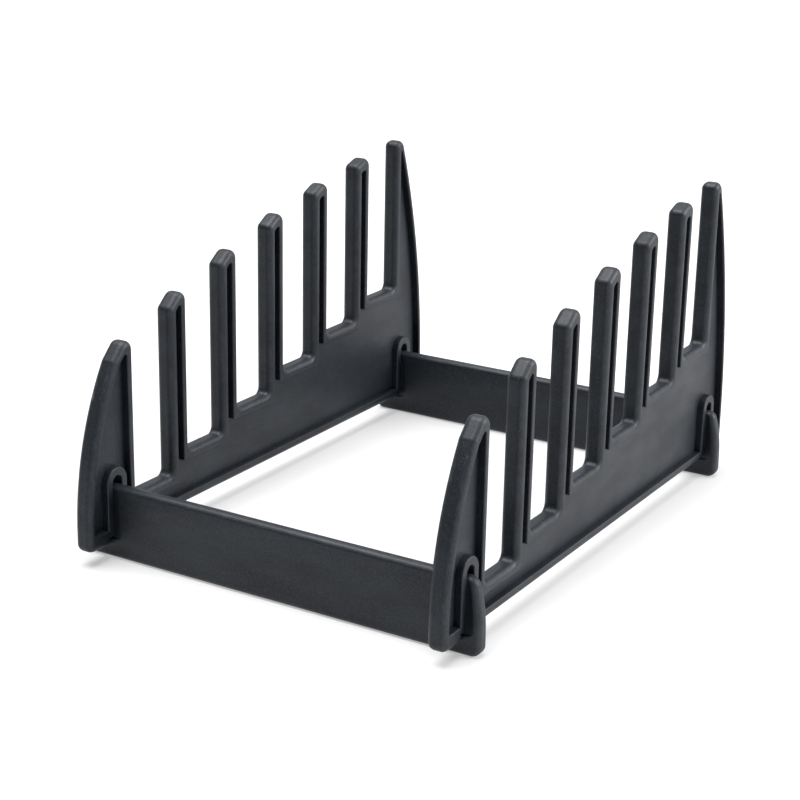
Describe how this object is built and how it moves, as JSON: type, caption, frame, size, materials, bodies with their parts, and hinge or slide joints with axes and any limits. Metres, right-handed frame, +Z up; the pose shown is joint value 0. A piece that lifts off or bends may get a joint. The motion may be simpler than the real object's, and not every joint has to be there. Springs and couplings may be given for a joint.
{
  "type": "toast rack",
  "caption": "Low knock-down rack of two toothed side combs pushed down over two flat cross bars, with upright gaps rising in steps from front to rear.",
  "frame": {"origin": "middle of the rack at table level, under the bars", "axes": "+X across the rack from the left comb to the right comb, +Y from the low front to the tall rear, +Z up"},
  "size_m": [0.155, 0.2194, 0.1166],
  "materials": {
    "charcoal_plastic": "fine matte moulded plastic with softly rounded edges"
  },
  "bodies": {
    "bars": {"front_bar": "charcoal_plastic", "rear_bar": "charcoal_plastic"},
    "left_side": {"left_comb": "charcoal_plastic"},
    "right_side": {"right_comb": "charcoal_plastic"}
  },
  "joints": [
    {"name": "left_comb_lift", "type": "slide", "parent": "bars", "child": "left_side", "axis": [0, 0, 1], "range_m": [0, 0.02]},
    {"name": "right_comb_lift", "type": "slide", "parent": "bars", "child": "right_side", "axis": [0, 0, 1], "range_m": [0, 0.02]}
  ]
}
